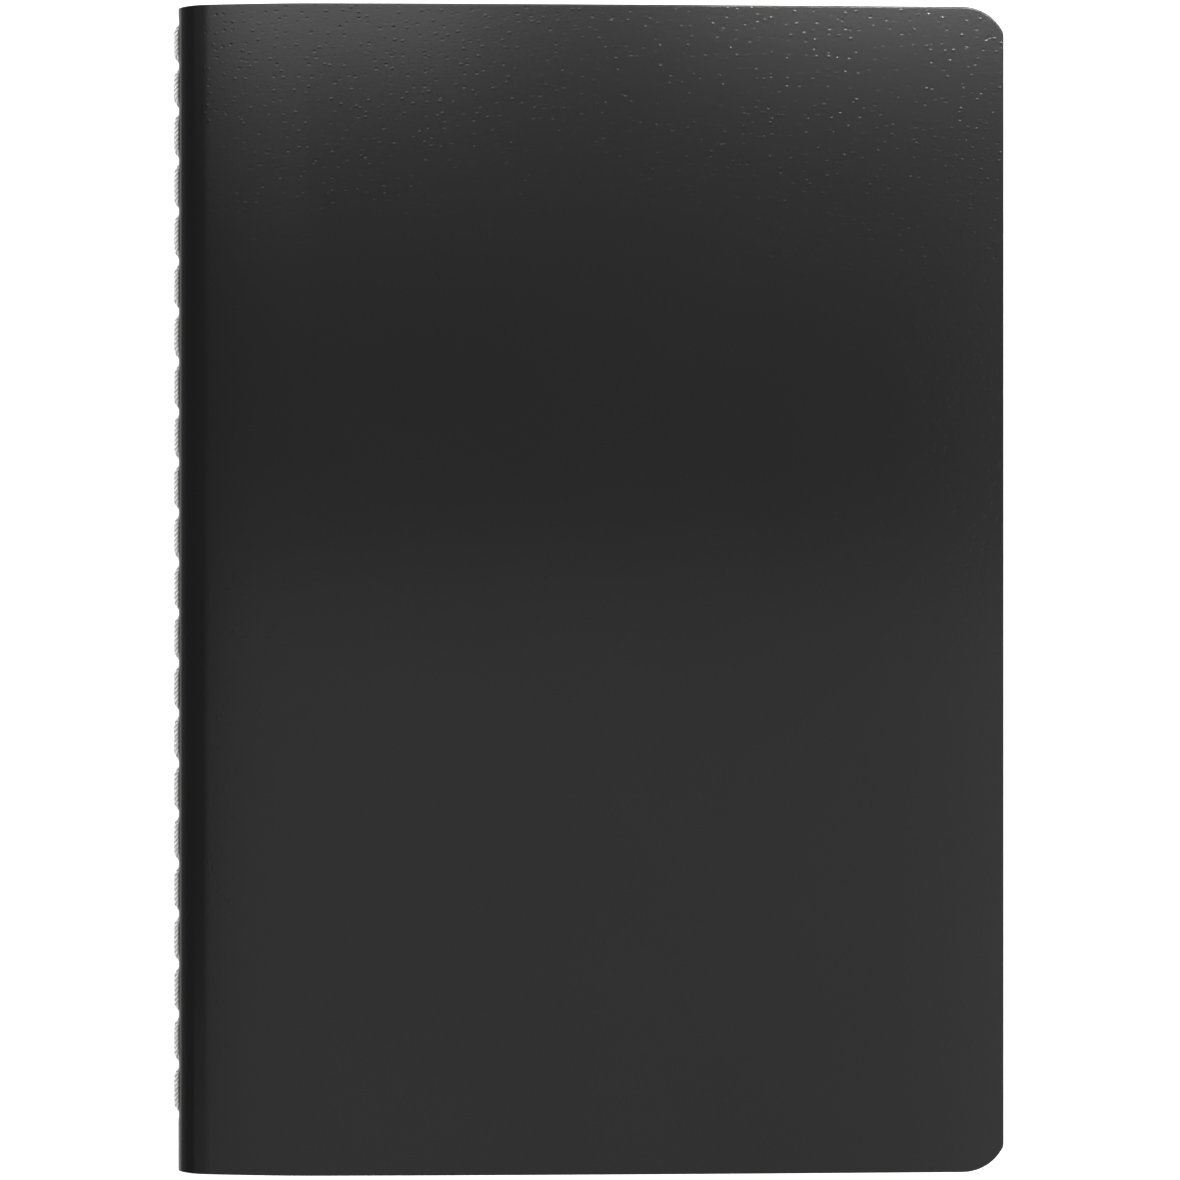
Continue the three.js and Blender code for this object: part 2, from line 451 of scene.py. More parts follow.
coverBoard = {
    "thickness": 0.45,
    "gapToPaper": 0.01,
    "edgeRounding": 0.2,  # the die presses the edge down over this width
    "edgeDrop": 0.07,
    # lines of points beside each cut edge, close together where it is rounded over
    "edgeRows": [0, 0.03, 0.07, 0.12, 0.2, 0.4, 0.8, 1.6, 2.4, 3.2, 4, 4.8, 5.6, 6.5, 7.5, 8.6],
    "holePull": 0.08,  # how far the thread pulls the board in at a needle hole
    "holeReach": 0.6,
    "holeRows": [-0.9, -0.55, -0.3, -0.1, 0.1, 0.3, 0.55, 0.9],  # the same beside each needle hole
    "rowSpacing": 4,
    "creaseWidth": 5,
    "creaseSteps": 20,
    "foldSteps": 28,
    "bulgeSpacing": 1,
    "panelSpacing": 3,
}
creaseDistance = creasePlace[0] - foldX
seam = {
    "stitches": 22,
    "firstHole": 2.3,  # from the head
    "shortStitches": 2,
    "shortStitch": 8.1,
    "stitch": 9.07,
}


def holePlaces():
    places = [headY - seam["firstHole"]]
    for stitch in range(seam["stitches"]):
        length = seam["shortStitch"] if stitch < seam["shortStitches"] else seam["stitch"]
        places.append(places[-1] - length)
    return np.array(places)


def coverRows(holes):
    # rows from tail to head: close together at both edges, and at each needle hole where there are any
    edgeRows = np.array(coverBoard["edgeRows"])
    inner = edgeRows[-1] + coverBoard["rowSpacing"] / 2
    middleRows = np.arange(tailY + inner, headY - inner, coverBoard["rowSpacing"])
    rows = [tailY + edgeRows, headY - edgeRows, middleRows]
    rows += [hole + np.array(coverBoard["holeRows"]) for hole in holes]
    rows = np.unique(np.concatenate(rows))
    keep = np.concatenate([[True], np.diff(rows) > edgeRows[1] / 2])
    return rows[keep]


def panelLine(start):
    # distances from the given one to the fore-edge
    top = closedShape["bulgeTop"]
    edgeLines = foreEdge - np.array(coverBoard["edgeRows"])[::-1]
    return np.concatenate([
        np.arange(start, top, coverBoard["bulgeSpacing"]),
        np.arange(top, edgeLines[0], coverBoard["panelSpacing"]),
        edgeLines,
    ])


def flatOutline(distances, rows):
    # the board's cut outline: the grid's points near the two rounded corners move on to arcs. It gives
    # each point's distance from the fold, its y, and its distance from the cut edge
    distance, y = (grid.copy() for grid in np.meshgrid(distances, rows, indexing="ij"))
    edge = np.minimum(np.minimum(headY - y, y - tailY), foreEdge - distance)
    radius, inset = closedShape["cornerRadius"], closedShape["cornerInset"]
    for end in (headY, tailY):
        way = np.sign(end)
        across = (distance - (foreEdge - inset)) / inset
        along = (way * y - (abs(end) - radius)) / radius
        inside = (across > 0) & (along > 0)
        across, along = np.where(inside, across, 1), np.where(inside, along, 1)
        # reach is 0 at the arc's centre and 1 on the outline, and quarter is the angle there
        reach = np.maximum(across, along)
        quarter = np.where(across >= along, along / across, 2 - across / along) * np.pi / 4
        outline = np.minimum(radius, inset / np.cos(quarter))
        distance = np.where(inside, foreEdge - inset + reach * outline * np.cos(quarter), distance)
        y = np.where(inside, way * (abs(end) - radius + reach * outline * np.sin(quarter)), y)
        edge = np.where(inside, (1 - reach) * outline, edge)
    return distance, y, edge


def arcAt(distance):
    # length along the coated face from the outermost line of the fold, where the board's pattern starts
    line = np.concatenate([foldDistances(0, coverBoard["foldSteps"]), panelLine(creaseDistance)])
    length = np.cumsum(np.hypot(np.diff(line), np.diff(layerHalf(line, 0, 0))))
    return np.interp(distance, line, np.concatenate([[0], length]))


def faceDrop(distance, y, edge, holes):
    # how far the coated face lies below its plane: rounded over at the cut edge, pulled in at the holes
    rounding = coverBoard["edgeRounding"]
    near = np.clip((rounding - edge) / rounding, 0, 1)
    drop = coverBoard["edgeDrop"] * (1 - np.sqrt(1 - near**2))
    if len(holes):
        toHole = np.hypot(arcAt(distance), np.abs(y[..., None] - holes).min(axis=-1))
        drop = drop + coverBoard["holePull"] * np.exp(-((toHole / coverBoard["holeReach"]) ** 2))
    return drop


def meshObject(name, points, faces, slots, materials, uvs):
    mesh = bpy.data.meshes.new(name)
    mesh.from_pydata([tuple(point) for point in points * mm], [], faces)
    mesh.polygons.foreach_set("material_index", slots)
    for material in materials:
        mesh.materials.append(material)
    layer = mesh.uv_layers.new(name="coverSheet")
    corners = np.zeros(len(mesh.loops), dtype=np.int32)
    mesh.loops.foreach_get("vertex_index", corners)
    layer.data.foreach_set("uv", (uvs[corners] * mm).ravel())
    built = bmesh.new()
    built.from_mesh(mesh)
    bmesh.ops.recalc_face_normals(built, faces=built.faces)
    built.to_mesh(mesh)
    built.free()
    return addPiece(name, mesh)


def addPiece(name, mesh):
    mesh.shade_smooth()
    mesh.set_sharp_from_angle(angle=np.radians(sharpAngle))
    piece = bpy.data.objects.new(name, mesh)
    bpy.context.scene.collection.objects.link(piece)
    return piece


def boardPiece(name, side, outerLine, innerLine, rows, holes, materials):
    # one stretch of the cover, from the distances of its coated face and its back
    thickness = coverBoard["thickness"]
    distance, y, edge = flatOutline(outerLine, rows)
    innerDistance = distance + (innerLine - outerLine)[:, None]
    height = middleHeight(distance) + side * layerHalf(distance, 0, 0)
    innerHeight = middleHeight(innerDistance) + side * layerHalf(innerDistance, thickness, thickness)
    rise = np.gradient(middleHeight(outerLine) + side * layerHalf(outerLine, 0, 0))
    run = np.gradient(outerLine)
    normal = side * np.stack([-rise, run]) / np.hypot(rise, run)
    if outerLine[0] == 0:
        normal[:, 0] = (-1, 0)  # the outermost line of the fold faces straight out
    drop = faceDrop(distance, y, edge, holes)
    outerX = foldX + distance - drop * normal[0][:, None]
    outer = np.stack([outerX, y, height - drop * normal[1][:, None]], axis=-1)
    inner = np.stack([foldX + innerDistance, y, innerHeight], axis=-1)
    # the coated face, the same again for the back, and the four walls between them
    number = np.arange(y.size).reshape(y.shape)
    quads = np.stack([number[:-1, :-1], number[1:, :-1], number[1:, 1:], number[:-1, 1:]], axis=-1)
    quads = quads.reshape(-1, 4)
    walls = []
    for line in (number[:, 0], number[-1, :], number[::-1, -1], number[0, ::-1]):
        walls.append(np.stack([line[:-1], line[:-1] + y.size, line[1:] + y.size, line[1:]], axis=-1))
    walls = np.concatenate(walls)
    faces = quads.tolist() + (quads[:, ::-1] + y.size).tolist() + walls.tolist()
    coated, cut, back = range(len(materials))  # the order of the materials
    slots = [coated] * len(quads) + [back] * len(quads) + [cut] * len(walls)
    uv = np.stack([side * arcAt(distance), y], axis=-1).reshape(-1, 2)
    points = np.concatenate([outer.reshape(-1, 3), inner.reshape(-1, 3)])
    return meshObject(name, points, faces, slots, materials, np.concatenate([uv, uv]))


def bendBetween(piece, side):
    # puts the piece's place into its mesh, whichever side of the fold it is on
    if side > 0:
        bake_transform(piece)
    else:
        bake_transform(piece)


def makeCover():
    materials = [makeLeatherette(), makeCutEdge(), makeCoverLining()]
    holes = holePlaces()
    foldRows = coverRows(holes)
    outerFold = np.append(foldDistances(0, coverBoard["foldSteps"]), creaseDistance)
    innerFold = foldDistances(coverBoard["thickness"], coverBoard["foldSteps"])
    innerFold = np.append(innerFold, creaseDistance)
    for name, side in (("cover_fold_bottom", -1), ("cover_fold_top", 1)):
        fold = boardPiece(name, side, outerFold, innerFold, foldRows, holes, materials)
        bendBetween(fold, side)
        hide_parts("cover_fold")
    panelRows = coverRows([])
    backPanel = panelLine(creaseDistance)
    back = boardPiece("cover_back", -1, backPanel, backPanel, panelRows, [], materials)
    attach(back, "back_half")
    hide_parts("back_cover")
    creaseEnd = creaseDistance + coverBoard["creaseWidth"]
    crease = np.linspace(creaseDistance, creaseEnd, coverBoard["creaseSteps"], endpoint=False)
    frontPanel = np.concatenate([crease, panelLine(creaseEnd)])
    front = boardPiece("cover_front", 1, frontPanel, frontPanel, panelRows, [], materials)
    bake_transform(front)
    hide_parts("front_cover")


# Sheets

paperSheet = {
    "thickness": 0.085,
    "foldSteps": 12,
    "cornerSteps": 12,
    "rows": 5,
    "bulgeSpacing": 1.6,
    "panelSpacing": 6,
    "cornerGap": 1,  # the evenly spaced lines end at least this far before the corners
    "mergeDistance": 0.001,
    "packing": 0.98,  # share of the room in the cover's fold that the sheets' folds fill
    "settling": 0.4,  # how much of the air beside it a leaf may move into
    "settlingLength": 17,
    "settlingWave": 0.25,  # how unevenly it settles along its width
    "seed": 11,
}


def newTree(name, inputs, result):
    # an empty node tree with these inputs, each a name and its kind, which gives back one shape
    tree = bpy.data.node_groups.new(name, "GeometryNodeTree")
    for inputName, kind in inputs.items():
        tree.interface.new_socket(name=inputName, in_out="INPUT", socket_type="NodeSocket" + kind)
    tree.interface.new_socket(name=result, in_out="OUTPUT", socket_type="NodeSocketGeometry")
    return tree


def cornerCutNodes(tree, across, radius):
    # what an arc takes off the end of a line that lies at this distance past its centre
    inside = addNode(tree, "ShaderNodeMath", {"operation": "MAXIMUM", 1: 0.0}, {0: across})
    square = addNode(tree, "ShaderNodeMath", {"operation": "POWER", 1: 2.0}, {0: inside.outputs[0]})
    whole = addNode(tree, "ShaderNodeMath", {"operation": "POWER", 1: 2.0}, {0: radius})
    rest = addNode(
        tree, "ShaderNodeMath", {"operation": "SUBTRACT"}, {0: whole.outputs[0], 1: square.outputs[0]}
    )
    root = addNode(tree, "ShaderNodeMath", {"operation": "SQRT"}, {0: rest.outputs[0]})
    cut = addNode(tree, "ShaderNodeMath", {"operation": "SUBTRACT"}, {0: radius, 1: root.outputs[0]})
    return cut.outputs[0]


def makeLeafTree():
    # draws one leaf out along a profile line: rows of points from tail to head, corners, thickness
    tree = newTree("leafFromProfile", {
        "Profile": "Geometry", "Rows": "Int", "Head": "Float", "Tail": "Float", "Fore-edge": "Float",
        "Thickness": "Float", "Corner radius": "Float", "Corner inset": "Float", "Paper": "Material",
    }, "Leaf")
    given = addNode(tree, "NodeGroupInput").outputs
    count = addNode(
        tree, "GeometryNodeAttributeDomainSize", {"component": "MESH"}, {"Geometry": given["Profile"]}
    )
    grid = addNode(
        tree, "GeometryNodeMeshGrid", {"Size X": 1.0, "Size Y": 1.0},
        {"Vertices X": count.outputs["Point Count"], "Vertices Y": given["Rows"]},
    )
    # the grid's points are numbered column by column, and each column goes to one point of the profile
    index = addNode(tree, "GeometryNodeInputIndex")
    column = addNode(
        tree, "ShaderNodeMath", {"operation": "DIVIDE"}, {0: index.outputs[0], 1: given["Rows"]}
    )
    column = addNode(tree, "ShaderNodeMath", {"operation": "FLOOR"}, {0: column.outputs[0]})
    position = addNode(tree, "GeometryNodeInputPosition")
    onProfile = addNode(
        tree, "GeometryNodeSampleIndex", {"data_type": "FLOAT_VECTOR", "domain": "POINT"},
        {"Geometry": given["Profile"], "Value": position.outputs[0], "Index": column.outputs[0]},
    )
    place = addNode(tree, "ShaderNodeSeparateXYZ", links={0: onProfile.outputs[0]})
    inGrid = addNode(tree, "ShaderNodeSeparateXYZ", links={0: position.outputs[0]})
    toEdge = addNode(
        tree, "ShaderNodeMath", {"operation": "SUBTRACT"}, {0: place.outputs["X"], 1: given["Fore-edge"]}
    )
    across = addNode(
        tree, "ShaderNodeMath", {"operation": "ADD"}, {0: toEdge.outputs[0], 1: given["Corner inset"]}
    )
    taken = cornerCutNodes(tree, across.outputs[0], given["Corner radius"])
    head = addNode(tree, "ShaderNodeMath", {"operation": "SUBTRACT"}, {0: given["Head"], 1: taken})
    tail = addNode(tree, "ShaderNodeMath", {"operation": "ADD"}, {0: given["Tail"], 1: taken})
    # the grid is 1 high and its middle is at 0, so this is 0 at the tail and 1 at the head
    row = addNode(tree, "ShaderNodeMath", {"operation": "ADD", 1: 0.5}, {0: inGrid.outputs["Y"]})
    y = addNode(
        tree, "ShaderNodeMapRange",
        links={"Value": row.outputs[0], "To Min": tail.outputs[0], "To Max": head.outputs[0]},
    )
    target = addNode(
        tree, "ShaderNodeCombineXYZ",
        links={"X": place.outputs["X"], "Y": y.outputs[0], "Z": place.outputs["Z"]},
    )
    laid = addNode(
        tree, "GeometryNodeSetPosition",
        links={"Geometry": grid.outputs["Mesh"], "Position": target.outputs[0]},
    )
    # down by half of the thickness, and then up again by all of it
    normal = addNode(tree, "GeometryNodeInputNormal")
    halfDown = addNode(
        tree, "ShaderNodeMath", {"operation": "MULTIPLY", 1: -0.5}, {0: given["Thickness"]}
    )
    shift = addNode(
        tree, "ShaderNodeVectorMath", {"operation": "SCALE"},
        {0: normal.outputs[0], "Scale": halfDown.outputs[0]},
    )
    lower = addNode(
        tree, "GeometryNodeSetPosition", links={"Geometry": laid.outputs[0], "Offset": shift.outputs[0]}
    )
    raised = addNode(
        tree, "GeometryNodeExtrudeMesh", {"mode": "FACES", "Individual": False},
        {"Mesh": lower.outputs[0], "Offset Scale": given["Thickness"]},
    )
    under = addNode(tree, "GeometryNodeFlipFaces", links={"Mesh": lower.outputs[0]})
    both = addNode(tree, "GeometryNodeJoinGeometry")
    tree.links.new(raised.outputs["Mesh"], both.inputs[0])
    tree.links.new(under.outputs[0], both.inputs[0])
    closed = addNode(
        tree, "GeometryNodeMergeByDistance", {"Distance": paperSheet["mergeDistance"] * mm},
        {"Geometry": both.outputs[0]},
    )
    real = addNode(tree, "GeometryNodeRealizeInstances", links={"Geometry": closed.outputs[0]})
    finished = addNode(
        tree, "GeometryNodeSetMaterial", links={"Geometry": real.outputs[0], "Material": given["Paper"]}
    )
    addNode(tree, "NodeGroupOutput", links={0: finished.outputs[0]})
    return tree


def runTree(name, points, tree, values):
    # puts a line of points through a node tree, and returns the result as a plain mesh object
    line = bpy.data.meshes.new(name + "_line")
    edges = [(number, number + 1) for number in range(len(points) - 1)]
    line.from_pydata([tuple(point) for point in points * mm], edges, [])
    carrier = bpy.data.objects.new(name + "_line", line)
    bpy.context.scene.collection.objects.link(carrier)
    modifier = carrier.modifiers.new("tree", "NODES")
    modifier.node_group = tree
    for item in tree.interface.items_tree:
        if item.in_out == "INPUT" and item.name in values:
            modifier[item.identifier] = values[item.name]
    evaluated = carrier.evaluated_get(bpy.context.evaluated_depsgraph_get())
    mesh = bpy.data.meshes.new_from_object(evaluated)
    bpy.data.objects.remove(carrier)
    bpy.data.meshes.remove(line)
    mesh.name = name
    return addPiece(name, mesh)


def leafPanelLine():
    # distances from the crease to the fore-edge, close together where the corners are cut
    top, inset = closedShape["bulgeTop"], closedShape["cornerInset"]
    turns = np.linspace(0, np.pi / 2, paperSheet["cornerSteps"] + 1)
    return np.concatenate([
        np.arange(creaseDistance, top, paperSheet["bulgeSpacing"]),
        np.arange(top, foreEdge - inset - paperSheet["cornerGap"], paperSheet["panelSpacing"]),
        foreEdge - inset + inset * np.sin(turns),
    ])


def makeSheets():
    tree = makeLeafTree()
    random = np.random.default_rng(paperSheet["seed"])
    values = {
        "Paper": makePaper(), "Rows": paperSheet["rows"], "Thickness": paperSheet["thickness"] * mm,
        "Head": headY * mm, "Tail": tailY * mm, "Fore-edge": (foldX + foreEdge) * mm,
        "Corner radius": closedShape["cornerRadius"] * mm,
        "Corner inset": closedShape["cornerInset"] * mm,
    }
    panel = leafPanelLine()
    taken = coverBoard["thickness"] + coverBoard["gapToPaper"]
    pitch = (closedShape["foldThickness"] / 2 - taken) / sheetCount * paperSheet["packing"]
    for sheet in range(1, sheetCount + 1):
        # the line in the middle of this sheet's share of the room
        share = (sheetCount + 0.5 - sheet) / sheetCount
        inset = taken + (sheet - 0.5) * pitch
        distance = np.concatenate([foldDistances(inset, paperSheet["foldSteps"]), panel])
        half = layerHalf(distance, inset, taken)
        air = (halfThickness(distance) - taken) / sheetCount - paperSheet["thickness"]
        for name, side in ((f"back_leaf_{sheet:02d}", -1), (f"front_leaf_{sheet:02d}", 1)):
            phase = random.uniform(0, 2 * np.pi)
            ripple = np.sin(distance / paperSheet["settlingLength"] + phase)
            wave = 1 + paperSheet["settlingWave"] * (ripple - 1)
            lift = random.uniform(-1, 1) * paperSheet["settling"] * air * wave
            lift = lift * half / halfThickness(distance)
            height = middleHeight(distance) + side * (half * share + lift)
            line = np.stack([foldX + distance, np.zeros_like(distance), height], axis=1)
            piece = runTree(f"paper_{name}", line, tree, values)
            bendBetween(piece, side)
            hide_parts(name, "sheet_folds")
    print("sheets:", 2 * sheetCount, "leaves of", len(piece.data.polygons), "faces")


# Seam

# how far a thread's middle lies from the fold: line is between the holes, and dip is in each of them
outerStitch = {
    "line": -0.27,
    "crest": 0.05,  # how far it bows out halfway between two holes
    "dip": 1.0,
    "dipHalf": 0.05,  # it is all the way in this far each side of the hole, and out again at riseEnd
    "riseEnd": 2.0,
    "radius": 0.5,
    "plies": 3,
    "lay": 2.6,  # length of one full twist
    "wander": 0.07,  # how far a stitch may lie above or below the middle of the fold
    "step": 0.12,
    "sides": 10,
    "boardSideShade": 1.0,  # it lies against the black board, so that side gets painted shade
}
innerStitch = {
    "line": 2.75,
    "crest": -0.02,
    "dip": 1.2,
    "dipHalf": 0.2,
    "riseEnd": 1.0,
    "radius": 0.24,
    "plies": 3,
    "lay": 1.3,
    "wander": 0.03,
    "step": 0.12,
    "sides": 8,
    "boardSideShade": 0.0,
}
twist = {
    "pressing": 1.06,  # the plies press together, so they take a little more room than round ones would
    "grooveShade": -2.4,  # the shade between two plies, at the thread's middle and at its outside
    "crownShade": 1.3,
    "crestChange": 0.5,  # how much the bow of one stitch may differ, as a share of it
    "boardShadeInside": 0.1,  # the painted shade on the side against the board is darkest from this far inside the fold on
    "boardShadeWidth": 0.5,  # and less and less over this width, going outwards
    "seed": 5,
    "bendReach": 5,  # how far above and below the seam
}


def makeThreadTree():
    # twists plies round a line: each is a copy of it, moved off it by a turn that grows with its length
    tree = newTree("twistedPlies", {
        "Line": "Geometry", "Plies": "Int", "Sides": "Int", "Ply radius": "Float", "Ply offset": "Float",
        "Lay": "Float", "Step": "Float", "Board": "Float", "Board shade width": "Float", "Board side shade": "Float",
        "Finish": "Material",
    }, "Thread")
    given = addNode(tree, "NodeGroupInput").outputs
    curve = addNode(tree, "GeometryNodeMeshToCurve", links={"Mesh": given["Line"]})
    even = addNode(
        tree, "GeometryNodeResampleCurve", {"mode": "LENGTH"},
        {"Curve": curve.outputs[0], "Length": given["Step"]},
    )
    copies = addNode(
        tree, "GeometryNodeDuplicateElements", {"domain": "SPLINE"},
        {"Geometry": even.outputs[0], "Amount": given["Plies"]},
    )
    parameter = addNode(tree, "GeometryNodeSplineParameter")
    turns = addNode(
        tree, "ShaderNodeMath", {"operation": "DIVIDE"},
        {0: parameter.outputs["Length"], 1: given["Lay"]},
    )
    start = addNode(
        tree, "ShaderNodeMath", {"operation": "DIVIDE"},
        {0: copies.outputs["Duplicate Index"], 1: given["Plies"]},
    )
    total = addNode(
        tree, "ShaderNodeMath", {"operation": "ADD"}, {0: turns.outputs[0], 1: start.outputs[0]}
    )
    angle = addNode(
        tree, "ShaderNodeMath", {"operation": "MULTIPLY", 1: 2 * np.pi}, {0: total.outputs[0]}
    )
    normal = addNode(tree, "GeometryNodeInputNormal")
    tangent = addNode(tree, "GeometryNodeInputTangent")
    side = addNode(
        tree, "ShaderNodeVectorMath", {"operation": "CROSS_PRODUCT"},
        {0: tangent.outputs[0], 1: normal.outputs[0]},
    )
    parts = []
    for operation, way in (("COSINE", normal.outputs[0]), ("SINE", side.outputs[0])):
        wave = addNode(tree, "ShaderNodeMath", {"operation": operation}, {0: angle.outputs[0]})
        reach = addNode(
            tree, "ShaderNodeMath", {"operation": "MULTIPLY"},
            {0: wave.outputs[0], 1: given["Ply offset"]},
        )
        parts.append(addNode(
            tree, "ShaderNodeVectorMath", {"operation": "SCALE"}, {0: way, "Scale": reach.outputs[0]}
        ))
    offset = addNode(
        tree, "ShaderNodeVectorMath", {"operation": "ADD"},
        {0: parts[0].outputs[0], 1: parts[1].outputs[0]},
    )
    position = addNode(tree, "GeometryNodeInputPosition")
    centred = addNode(
        tree, "GeometryNodeStoreNamedAttribute",
        {"data_type": "FLOAT_VECTOR", "domain": "POINT", "Name": "centre"},
        {"Geometry": copies.outputs[0], "Value": position.outputs[0]},
    )
    twisted = addNode(
        tree, "GeometryNodeSetPosition",
        links={"Geometry": centred.outputs[0], "Offset": offset.outputs[0]},
    )
    section = addNode(
        tree, "GeometryNodeCurvePrimitiveCircle", {"mode": "RADIUS"},
        {"Resolution": given["Sides"], "Radius": given["Ply radius"]},
    )
    skin = addNode(
        tree, "GeometryNodeCurveToMesh", {"Fill Caps": True},
        {"Curve": twisted.outputs[0], "Profile Curve": section.outputs[0]},
    )
    # standing: 0 deep between the plies and 1 on their outside, for the painted shade between them. The
    # other is 1 on the side that touches the board, for the painted shade there
    centre = addNode(
        tree, "GeometryNodeInputNamedAttribute", {"data_type": "FLOAT_VECTOR", "Name": "centre"}
    )
    away = addNode(
        tree, "ShaderNodeVectorMath", {"operation": "DISTANCE"},
        {0: position.outputs[0], 1: centre.outputs[0]},
    )
    outermost = addNode(
        tree, "ShaderNodeMath", {"operation": "ADD"}, {0: given["Ply radius"], 1: given["Ply offset"]}
    )
    standing = addNode(
        tree, "ShaderNodeMapRange", {"To Min": twist["grooveShade"], "To Max": twist["crownShade"]},
        {"Value": away.outputs["Value"], "From Max": outermost.outputs[0]},
    )
    across = addNode(tree, "ShaderNodeSeparateXYZ", links={0: position.outputs[0]})
    # painted shade: darker on the side of the thread nearest the board
    boardShadeStart = addNode(
        tree, "ShaderNodeMath", {"operation": "SUBTRACT"}, {0: given["Board"], 1: given["Board shade width"]}
    )
    boardSideShade = addNode(
        tree, "ShaderNodeMapRange",
        links={
            "Value": across.outputs["X"], "From Min": boardShadeStart.outputs[0], "From Max": given["Board"],
            "To Max": given["Board side shade"],
        },
    )
    for name, value in (("standing", standing), ("boardSideShade", boardSideShade)):
        skin = addNode(
            tree, "GeometryNodeStoreNamedAttribute",
            {"data_type": "FLOAT", "domain": "POINT", "Name": name},
            {"Geometry": skin.outputs[0], "Value": value.outputs[0]},
        )
    real = addNode(tree, "GeometryNodeRealizeInstances", links={"Geometry": skin.outputs[0]})
    finished = addNode(
        tree, "GeometryNodeSetMaterial", links={"Geometry": real.outputs[0], "Material": given["Finish"]}
    )
    addNode(tree, "NodeGroupOutput", links={0: finished.outputs[0]})
    return tree


def threadLine(stitch, random):
    # along the seam from head to tail: into each needle hole and back out, slightly different each time
    holes = holePlaces()
    y = np.arange(holes[0], holes[-1], -stitch["step"])
    number = np.clip(np.searchsorted(-holes, -y, side="right") - 1, 0, len(holes) - 2)
    through = (holes[number] - y) / (holes[number] - holes[number + 1])
    nearest = np.abs(y[:, None] - holes).min(axis=1)
    out = smoothRise(stitch["dipHalf"], stitch["riseEnd"], nearest)
    change = random.uniform(-twist["crestChange"], twist["crestChange"], len(holes))
    crest = stitch["crest"] * (1 + change)[number] * np.sin(np.pi * through)
    roll = (stitch["wander"] * random.uniform(-1, 1, len(holes)))[number] * np.sin(np.pi * through)
    distance = stitch["dip"] + (stitch["line"] - stitch["dip"]) * out - crest
    return np.stack([foldX + distance, y, middleZ + roll], axis=1)


def makeSeam():
    tree = makeThreadTree()
    finish = makeThreadFinish()
    random = np.random.default_rng(twist["seed"])
    for name, stitch in (("outer_thread", outerStitch), ("inner_thread", innerStitch)):
        # round plies that just touch each other inside the thread's radius, pressed a little
        plyRadius = stitch["radius"] / (1 + 1 / np.sin(np.pi / stitch["plies"])) * twist["pressing"]
        values = {
            "Plies": stitch["plies"], "Sides": stitch["sides"], "Finish": finish,
            "Ply radius": plyRadius * mm, "Ply offset": (stitch["radius"] - plyRadius) * mm,
            "Lay": stitch["lay"] * mm, "Step": stitch["step"] * mm,
            "Board": (foldX + twist["boardShadeInside"]) * mm, "Board shade width": twist["boardShadeWidth"] * mm,
            "Board side shade": stitch["boardSideShade"],
        }
        piece = runTree("twisted_" + name, threadLine(stitch, random), tree, values)
        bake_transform(piece)
        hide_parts(name)
        print(name, len(piece.data.polygons), "faces")


# Studio

studio = {
    "cameraHeight": 392.6,
    "cameraPlace": (-0.08, -0.09),
    "lens": 65.61,
    "sensor": 36,
    "horizonGlow": 0.4,  # the pale room, seen low down only
    "horizonTop": 30,  # degrees
    "roomGlow": 0.04,
    "floorReach": 3000,
    "floorDepth": 0.01,
    "floorColour": "#f0f0f0",
    "floorRoughness": 0.9,
    "floorGlowColour": "#ffffff",
    "floorGlow": 0.7,
}
# where each soft box is, how wide and deep, and how bright its face is. The fills leave no reflection
softboxes = {
    "headLeft": {"place": (-226, 594, 1000), "size": (411, 467), "glow": 2.8},
    "headLeftEdge": {"place": (-400, 420, 1350), "size": (350, 200), "glow": 0.25},
    "headMiddle": {"place": (5, 550, 1000), "size": (130, 300), "glow": 2.4},
    "headRight": {"place": (325, 506, 1000), "size": (402, 28), "glow": 82.9},
    "headFarRight": {"place": (370, 506, 1000), "size": (250, 28), "glow": 24},
    "foldHead": {"place": (-1000, 800, 1350), "size": (700, 600), "glow": 0.22},
    "foldTail": {"place": (-1000, -725, 1350), "size": (700, 650), "glow": 0.2},
    "ceiling": {"place": (137, -88, 1400), "size": (1527, 1742), "glow": 0.18},
    "tailCeiling": {"place": (137, -409, 1350), "size": (1527, 900), "glow": 0.33},
    "rightCeiling": {"place": (672, 0, 1350), "size": (500, 1500), "glow": 0.4},
    "fillRight": {"place": (1200, 0, 1350), "size": (1200, 1200), "glow": 1.6, "fill": True},
    "fillLeft": {"place": (-1200, 0, 1350), "size": (1200, 1200), "glow": 1.6, "fill": True},
    "fillHead": {"place": (0, 1200, 1350), "size": (1200, 1200), "glow": 1.6, "fill": True},
    "fillTail": {"place": (0, -1200, 1350), "size": (1200, 1200), "glow": 1.6, "fill": True},
}


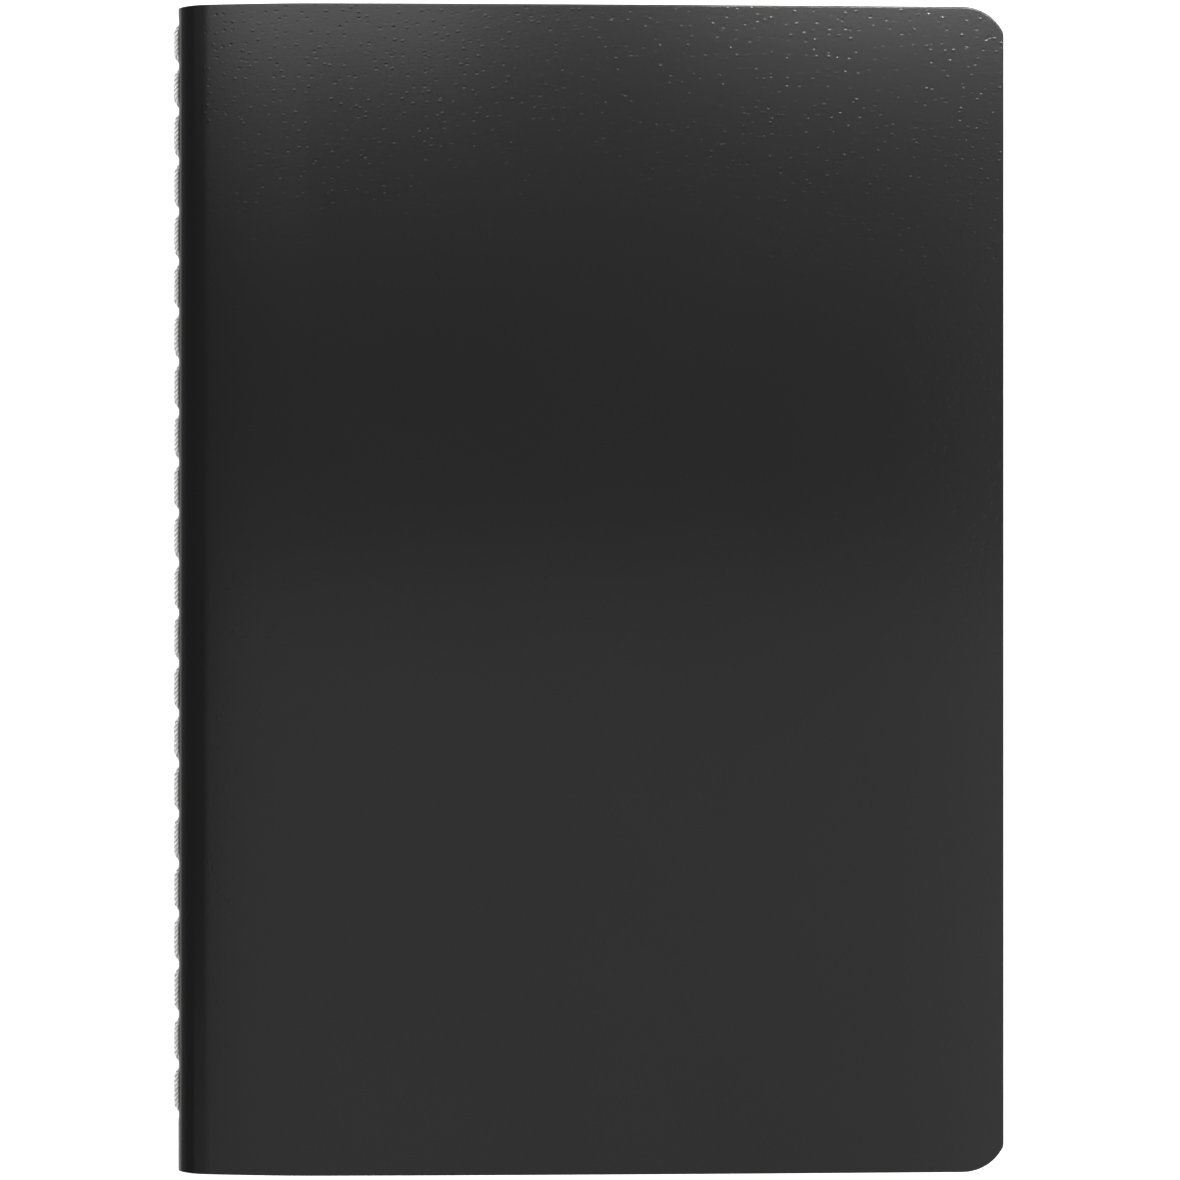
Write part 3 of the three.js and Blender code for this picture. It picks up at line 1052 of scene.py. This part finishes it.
def addSoftbox(name, box):
    light = bpy.data.lights.new(name, "AREA")
    light.shape = "RECTANGLE"
    light.size, light.size_y = (length * mm for length in box["size"])
    light.energy = box["glow"] * np.pi * light.size * light.size_y
    lamp = bpy.data.objects.new(name, light)
    lamp.location = [length * mm for length in box["place"]]
    back = lamp.location.normalized()
    across = mathutils.Vector((0, 1, 0)).cross(back).normalized()
    lamp.rotation_euler = mathutils.Matrix((across, back.cross(across), back)).transposed().to_euler()
    lamp.visible_camera = False
    lamp.visible_glossy = not box.get("fill", False)
    bpy.context.scene.collection.objects.link(lamp)


def makeRoom():
    # a pale room below eye height and a dim one above, so that only the soft boxes show in the cover
    world = bpy.data.worlds.new("room")
    world.use_nodes = True
    tree = world.node_tree
    tree.nodes.clear()
    way = addNode(tree, "ShaderNodeTexCoord")
    height = addNode(tree, "ShaderNodeSeparateXYZ", links={0: way.outputs["Generated"]})
    glow = addNode(
        tree, "ShaderNodeMapRange",
        {
            "interpolation_type": "SMOOTHSTEP", "From Min": 0.0,
            "From Max": float(np.sin(np.radians(studio["horizonTop"]))),
            "To Min": studio["horizonGlow"], "To Max": studio["roomGlow"],
        },
        {"Value": height.outputs["Z"]},
    )
    background = addNode(tree, "ShaderNodeBackground", links={"Strength": glow.outputs[0]})
    addNode(tree, "ShaderNodeOutputWorld", links={"Surface": background.outputs[0]})
    return world


def makeStudio():
    scene = bpy.context.scene
    cameraData = bpy.data.cameras.new("camera")
    cameraData.sensor_width = studio["sensor"]
    cameraData.lens = studio["lens"]
    camera = bpy.data.objects.new("camera", cameraData)
    x, y = studio["cameraPlace"]
    camera.location = (x * mm, y * mm, studio["cameraHeight"] * mm)
    scene.collection.objects.link(camera)
    scene.camera = camera
    scene.view_settings.view_transform = "Standard"
    scene.world = makeRoom()
    reach, depth = studio["floorReach"] * mm, studio["floorDepth"] * mm
    floor = bpy.data.meshes.new("floor")
    corners = [(way * reach, side * reach, -depth) for way, side in ((-1, -1), (1, -1), (1, 1), (-1, 1))]
    floor.from_pydata(corners, [], [(0, 1, 2, 3)])
    floor.materials.append(makeFloorFinish())
    floorObject = bpy.data.objects.new("floor", floor)
    scene.collection.objects.link(floorObject)
    for name, box in softboxes.items():
        addSoftbox(name, box)
    print("studio made")


makeStudio()
makeCover()
makeSheets()
makeSeam()
